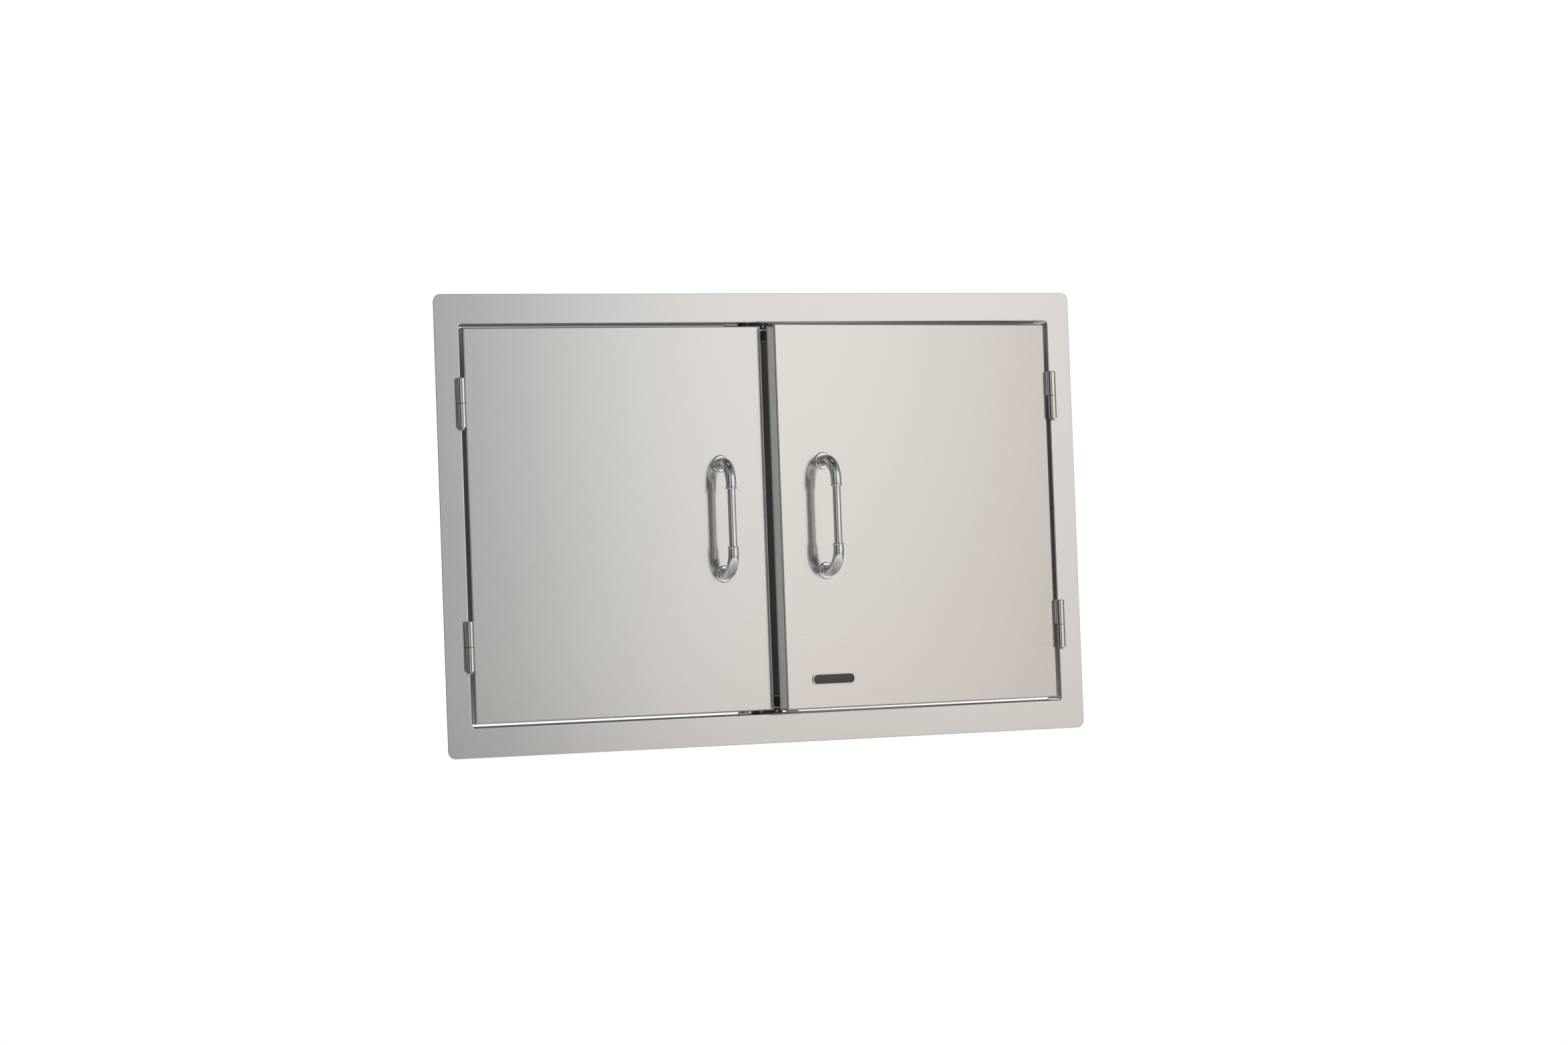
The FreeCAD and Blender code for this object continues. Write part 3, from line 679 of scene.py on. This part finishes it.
def lay_floor(settings):
    """A pale disc under the frame, its colour darkened near the frame as painted shade, which
    thins out away from it and where it is seen edge on.
    """
    bpy.ops.object.select_all(action="DESELECT")
    level = cad_box[0].z
    bpy.ops.mesh.primitive_circle_add(vertices=96, radius=settings.floor_radius, fill_type="NGON",
                                      location=(0, 0, level))
    floor = bpy.context.object
    floor.name = "studio_floor"
    bpy.ops.object.transform_apply(location=True, rotation=True, scale=True)
    material, graph = new_material("pale_floor")
    x, y, z = graph.place()
    away = graph.maths("SQRT", x * x + y * y)
    fade = graph.rise(away, *(settings.floor_radius * share for share in FLOOR_THINS))
    facing = graph.node("ShaderNodeLayerWeight", inputs={"Blend": 0.5}, output="Facing")
    edge_on = graph.rise(facing, *FLOOR_EDGE_ON)
    pale = tuple(settings.floor_colour)
    # Painted shade: the floor's colour is darker near the frame, standing in for its shadow
    tone = graph.mix(graph.rise(away, *FLOOR_PAINTED_SHADE_SPAN), scaled(pale, settings.floor_painted_shade), pale)
    matt_inputs = {"Base Color": tone, "Roughness": 0.9, "Specular IOR Level": 0.0}
    matt = graph.node("ShaderNodeBsdfPrincipled", inputs=matt_inputs)
    clear = graph.node("ShaderNodeBsdfTransparent")
    thinned = graph.maths("MAXIMUM", fade, edge_on) * seen_directly(graph)
    graph.surface(graph.node("ShaderNodeMixShader", inputs={0: thinned, 1: matt, 2: clear}))
    floor.data.materials.append(material)


def tinted_stops(rows, low, high):
    """Ramp stops from rows of position, level and warmth, for positions between low and high.
    Warmth is the share that blue loses."""
    stops = []
    for position, level, warmth in rows:
        colour = (level, level * (1 - warmth * GREEN_SHARE), level * (1 - warmth))
        stops.append(((position - low) / (high - low), colour))
    return stops


def raise_wall(settings):
    """A studio wall all round, which only polished surfaces see."""
    bpy.ops.object.select_all(action="DESELECT")
    bpy.ops.mesh.primitive_uv_sphere_add(segments=64, ring_count=32, radius=settings.wall_radius)
    wall = bpy.context.object
    wall.name = "studio_wall"
    bpy.ops.object.shade_smooth()
    wall.visible_camera = False
    wall.visible_diffuse = False
    wall.visible_shadow = False
    material, graph = new_material("graded_wall")
    x, y, z = graph.place()
    bearing = graph.maths("ARCTAN2", x, 0 - y) / (2 * math.pi) + 0.5
    sine = z / settings.wall_radius
    tone = graph.ramp(bearing, tinted_stops(WALL_TONES, -180, 180))
    share = graph.ramp(sine / 2 + 0.5, tinted_stops(WALL_HEIGHTS, -1, 1))
    tone = graph.mix(graph.rise(sine, *CEILING_STARTS), tone, (settings.ceiling,) * 3)
    glow = graph.mix(1.0, tone, share, "MULTIPLY")
    behind = graph.rise(graph.maths("ABSOLUTE", bearing - 0.5), *DOORWAY_SIDES)
    level = 1 - graph.rise(graph.maths("ABSOLUTE", sine - DOORWAY_MIDDLE), *DOORWAY_ENDS)
    glow = graph.mix(behind * level, glow, (settings.doorway,) * 3)
    graph.surface(graph.node("ShaderNodeEmission", inputs={"Color": glow, "Strength": 1.0}))
    wall.data.materials.append(material)


def hang_lamp(name, power, size, bearing, height):
    """A square lamp that faces the origin. Bearing is to the right of the front."""
    data = bpy.data.lights.new(name, "AREA")
    data.energy = power
    data.size = size
    lamp = bpy.data.objects.new(name, data)
    bpy.context.scene.collection.objects.link(lamp)
    away = Vector((math.sin(bearing), -math.cos(bearing), math.tan(height))).normalized()
    place = away * LAMP_DISTANCE
    lamp.matrix_world = Matrix.Translation(place) @ place.to_track_quat("Z", "Y").to_matrix().to_4x4()
    lamp.visible_camera = False
    lamp.visible_glossy = False


class ACCESS_DOOR_OT_stage(bpy.types.Operator):
    """Set up the camera, pale floor, studio wall and soft lamps"""
    bl_idname = "access_door.stage"
    bl_label = "Set Up Studio"

    def execute(self, context):
        settings = context.scene.access_door_studio
        context.scene.view_settings.view_transform = "Standard"
        stand_camera(settings)
        light_world(settings)
        lay_floor(settings)
        raise_wall(settings)
        for name, power, size, bearing, height in LAMPS:
            hang_lamp(name, getattr(settings, power), size, math.radians(bearing), math.radians(height))
        return {"FINISHED"}


# The object's pieces

class ACCESS_DOOR_OT_sheets(bpy.types.Operator):
    """Finish the face frame, door skins and liners as satin steel"""
    bl_idname = "access_door.sheets"
    bl_label = "Finish Sheets"

    def execute(self, context):
        settings = context.scene.access_door_sheets
        satin_frame = brushed_sheet("satin_frame", tuple(settings.frame_colour), settings)
        give_finish(satin_frame, "face_frame")
        satin_door = brushed_sheet("satin_door", tuple(settings.door_colour), settings)
        give_finish(satin_door, *each("{side}_door_skin"))
        liner = mill_steel("pressed_liner", tuple(settings.liner_colour), settings.liner_roughness)
        give_finish(liner, *each("{side}_door_liner"))
        return {"FINISHED"}


class ACCESS_DOOR_OT_hinges(bpy.types.Operator):
    """Polish the hinge barrels and pins, and colour the washers"""
    bl_idname = "access_door.hinges"
    bl_label = "Finish Hinges"

    def execute(self, context):
        settings = context.scene.access_door_hinges
        barrel = polished_steel("polished_barrel", tuple(settings.leaf_colour), settings.barrel_roughness,
                                settings.ring_pitch)
        give_finish(barrel, *each("{side}_{end}_frame_leaf", ENDS), *each("{side}_{end}_door_leaf", ENDS))
        pin = polished_steel("turned_pin", tuple(settings.pin_colour), settings.pin_roughness,
                             settings.pin_ring_pitch)
        give_finish(pin, *each("{side}_{end}_hinge_pin", ENDS))
        nylon = dull_black("black_nylon", tuple(settings.washer_colour), settings.washer_roughness,
                           NYLON_GRIT)
        give_finish(nylon, *each("{side}_{end}_hinge_washer", ENDS))
        return {"FINISHED"}


class ACCESS_DOOR_OT_handles(bpy.types.Operator):
    """Plate the rosettes, elbows and grip bars"""
    bl_idname = "access_door.handles"
    bl_label = "Finish Handles"

    def execute(self, context):
        settings = context.scene.access_door_handles
        chrome = mirror_chrome("mirror_chrome", tuple(settings.colour), settings.roughness)
        give_finish(chrome, *each("{side}_{end}_rosette", ENDS), *each("{side}_{end}_elbow", ENDS))
        give_finish(chrome, *each("{side}_grip_bar"))
        return {"FINISHED"}


class ACCESS_DOOR_OT_catches(bpy.types.Operator):
    """Finish the magnets, strike plates, brackets, stile and backing plates"""
    bl_idname = "access_door.catches"
    bl_label = "Finish Catches"

    def execute(self, context):
        settings = context.scene.access_door_catches
        ferrite = dull_black("black_ferrite", tuple(settings.magnet_colour), settings.magnet_roughness,
                             FERRITE_GRIT)
        strike = mill_steel("strike_steel", tuple(settings.strike_colour), settings.strike_roughness)
        bracket = mill_steel("mill_bracket", tuple(settings.bracket_colour), settings.bracket_roughness)
        # The stile is coloured dark as painted shade for the gap between the doors
        shade_painted = dull_black("coated_stile", tuple(settings.stile_shade_colour), settings.stile_roughness,
                            STILE_SHADE_GRIT)
        give_finish(ferrite, *each("{side}_{end}_catch_magnet", CATCH_ENDS))
        give_finish(strike, *each("{side}_{end}_strike_plate", CATCH_ENDS))
        give_finish(bracket, *each("{side}_{end}_catch_bracket", CATCH_ENDS))
        give_finish(bracket, *each("{side}_backing_plate"))
        give_finish(shade_painted, "centre_stile")
        return {"FINISHED"}


class ACCESS_DOOR_OT_fasteners(bpy.types.Operator):
    """Finish the rivets and screws"""
    bl_idname = "access_door.fasteners"
    bl_label = "Finish Fasteners"

    def execute(self, context):
        settings = context.scene.access_door_fasteners
        plain = polished_steel("plain_fastener", tuple(settings.colour), settings.roughness,
                               settings.ring_pitch)
        give_finish(plain, "stile_rivets", "frame_leaf_rivets", "catch_screws", "catch_rivets")
        give_finish(plain, *each("{side}_liner_rivets"), *each("{side}_door_leaf_rivets"))
        give_finish(plain, *each("{side}_handle_screws"))
        return {"FINISHED"}


# Badge plate

END_ROUNDING = 0.96      # of half the plate's height
RIM_ROUNDING = 0.32      # of the rim's width
CROWN_INSET = 0.2        # of the field's height
CROWN_RISES = (0.25, 0.1)    # of the recess, one for each inset
FIELD_GAP = 0.05 * MM    # between the rim's inner wall and the field
SHELF_GAP = 0.01 * MM    # between the rim's shelf and the field's back


def round_ended_plate(name, middle, length, height, back_y, front_y, segments):
    """A plate with nearly half-round ends, standing on its back plane and left in edit mode."""
    low = (middle.x - length / 2, front_y, middle.z - height / 2)
    high = (middle.x + length / 2, back_y, middle.z + height / 2)
    plate = start_block(name, low, high)
    pick(plate, "edges", runs_along_y)
    bpy.ops.mesh.bevel(offset=height / 2 * END_ROUNDING, segments=segments, affect="EDGES")
    return plate


def badge_middle(settings):
    return Vector((settings.middle_x, 0, settings.middle_z))


def badge_rim(settings, door_face_y):
    """The bright rim, with a shelf sunk in it for the dark field."""
    front_y = door_face_y - settings.thickness
    rim = round_ended_plate("badge_rim", badge_middle(settings), settings.length, settings.height,
                            door_face_y, front_y, settings.segments)
    pick(rim, "faces", faces_front)
    bpy.ops.mesh.inset(thickness=settings.rim_width)
    bpy.ops.mesh.extrude_region_move(TRANSFORM_OT_translate={"value": (0, settings.recess * 2, 0)})

    def borders_front(edge):
        """True where a wall meets the rim's front."""
        first, second = edge.link_faces
        in_front = all(abs(vertex.co.y - front_y) < TINY for vertex in edge.verts)
        return in_front and faces_front(first) != faces_front(second)

    pick(rim, "edges", borders_front)
    bpy.ops.mesh.bevel(offset=settings.rim_width * RIM_ROUNDING, segments=4, affect="EDGES")
    return close_block(rim)


def badge_field(settings, door_face_y):
    """The bare dark field, slightly crowned, inside the rim."""
    shelf_y = door_face_y - settings.thickness + settings.recess * 2
    border = 2 * (settings.rim_width + FIELD_GAP)
    length = settings.length - border
    height = settings.height - border
    field = round_ended_plate("badge_field", badge_middle(settings), length, height,
                              shelf_y - SHELF_GAP, shelf_y - settings.recess, settings.segments)
    pick(field, "faces", faces_front)
    for rise in CROWN_RISES:
        bpy.ops.mesh.inset(thickness=height * CROWN_INSET)
        bpy.ops.transform.translate(value=(0, -settings.recess * rise, 0))
    return close_block(field)


class ACCESS_DOOR_OT_badge(bpy.types.Operator):
    """Model the bare badge plate on the right door"""
    bl_idname = "access_door.badge"
    bl_label = "Model Badge Plate"

    def execute(self, context):
        settings = context.scene.access_door_badge
        handles = context.scene.access_door_handles
        door_face_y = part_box("face_frame")[0].y
        swing = joint_named("right_door_swing")
        hinge = Vector(swing["pos_m"])
        ajar = -math.radians(swing["range_deg"][0])
        rim = badge_rim(settings, door_face_y)
        chrome = mirror_chrome("badge_chrome", tuple(handles.colour), settings.rim_roughness)
        rim.data.materials.append(chrome)
        field = badge_field(settings, door_face_y)
        enamel = dull_black("badge_enamel", tuple(settings.field_colour), settings.field_roughness,
                            ENAMEL_GRIT)
        field.data.materials.append(enamel)
        for piece, slot in ((rim, "handle_chrome"), (field, "magnet_black")):
            turn_about_upright(piece, hinge, ajar)
            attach(piece, "right_door")
        return {"FINISHED"}


class ACCESS_DOOR_PT_sidebar(bpy.types.Panel):
    """Sizes, colours and steps of the access door"""
    bl_label = "Access Door"
    bl_idname = "ACCESS_DOOR_PT_sidebar"
    bl_space_type = "VIEW_3D"
    bl_region_type = "UI"
    bl_category = "Access Door"

    def draw(self, context):
        for group, step in STEPS:
            box = self.layout.box()
            settings = getattr(context.scene, group)
            for name in settings.bl_rna.properties.keys():
                if name not in ("rna_type", "name"):
                    box.prop(settings, name)
            box.operator(step)


GROUPS = {
    "access_door_studio": StudioSettings,
    "access_door_sheets": SheetSettings,
    "access_door_hinges": HingeSettings,
    "access_door_handles": HandleSettings,
    "access_door_catches": CatchSettings,
    "access_door_fasteners": FastenerSettings,
    "access_door_badge": BadgeSettings,
}
STEPS = (
    ("access_door_studio", "access_door.stage"),
    ("access_door_sheets", "access_door.sheets"),
    ("access_door_hinges", "access_door.hinges"),
    ("access_door_handles", "access_door.handles"),
    ("access_door_catches", "access_door.catches"),
    ("access_door_fasteners", "access_door.fasteners"),
    ("access_door_badge", "access_door.badge"),
)
CLASSES = (
    *GROUPS.values(),
    ACCESS_DOOR_OT_stage,
    ACCESS_DOOR_OT_sheets,
    ACCESS_DOOR_OT_hinges,
    ACCESS_DOOR_OT_handles,
    ACCESS_DOOR_OT_catches,
    ACCESS_DOOR_OT_fasteners,
    ACCESS_DOOR_OT_badge,
    ACCESS_DOOR_PT_sidebar,
)


def register():
    for made in CLASSES:
        bpy.utils.register_class(made)
    for name, group in GROUPS.items():
        setattr(bpy.types.Scene, name, PointerProperty(type=group))


def unregister():
    for name in GROUPS:
        delattr(bpy.types.Scene, name)
    for made in reversed(CLASSES):
        bpy.utils.unregister_class(made)


def main():
    register()
    bpy.ops.access_door.stage()
    bpy.ops.access_door.sheets()
    bpy.ops.access_door.hinges()
    bpy.ops.access_door.handles()
    bpy.ops.access_door.catches()
    bpy.ops.access_door.fasteners()
    bpy.ops.access_door.badge()


if __name__ == "__main__":
    main()
